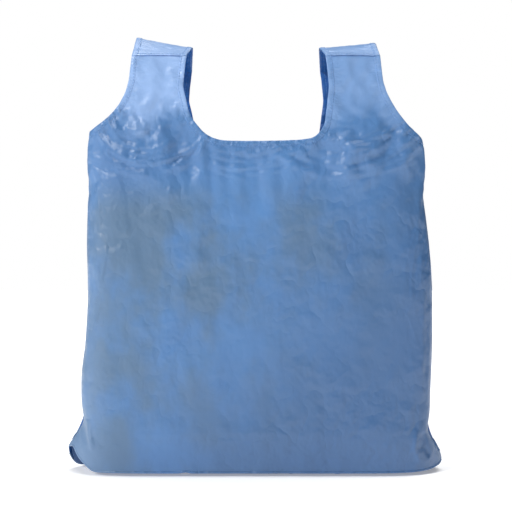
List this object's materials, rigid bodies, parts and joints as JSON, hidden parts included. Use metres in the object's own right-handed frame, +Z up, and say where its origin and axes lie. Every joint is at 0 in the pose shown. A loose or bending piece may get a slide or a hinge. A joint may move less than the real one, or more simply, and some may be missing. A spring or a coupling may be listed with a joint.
{
  "type": "shopping bag",
  "caption": "Vest-shaped carrier bag of thin woven cloth with two loop handles, standing open and filled out on its pleated base.",
  "frame": {"origin": "middle of the flat base, on the floor that the bag stands on", "axes": "+Z up towards the handles, -Y towards the viewer of the picture (the front panel faces -Y), +X towards the picture's right"},
  "size_m": [0.429, 0.1214, 0.4976],
  "materials": {
    "front_panel": "satin",
    "back_panel": "satin",
    "bottom_gusset": "satin"
  },
  "bodies": {
    "root": {"front_panel": "front_panel", "back_panel": "back_panel", "bottom_gusset": "bottom_gusset"}
  },
  "joints": []
}
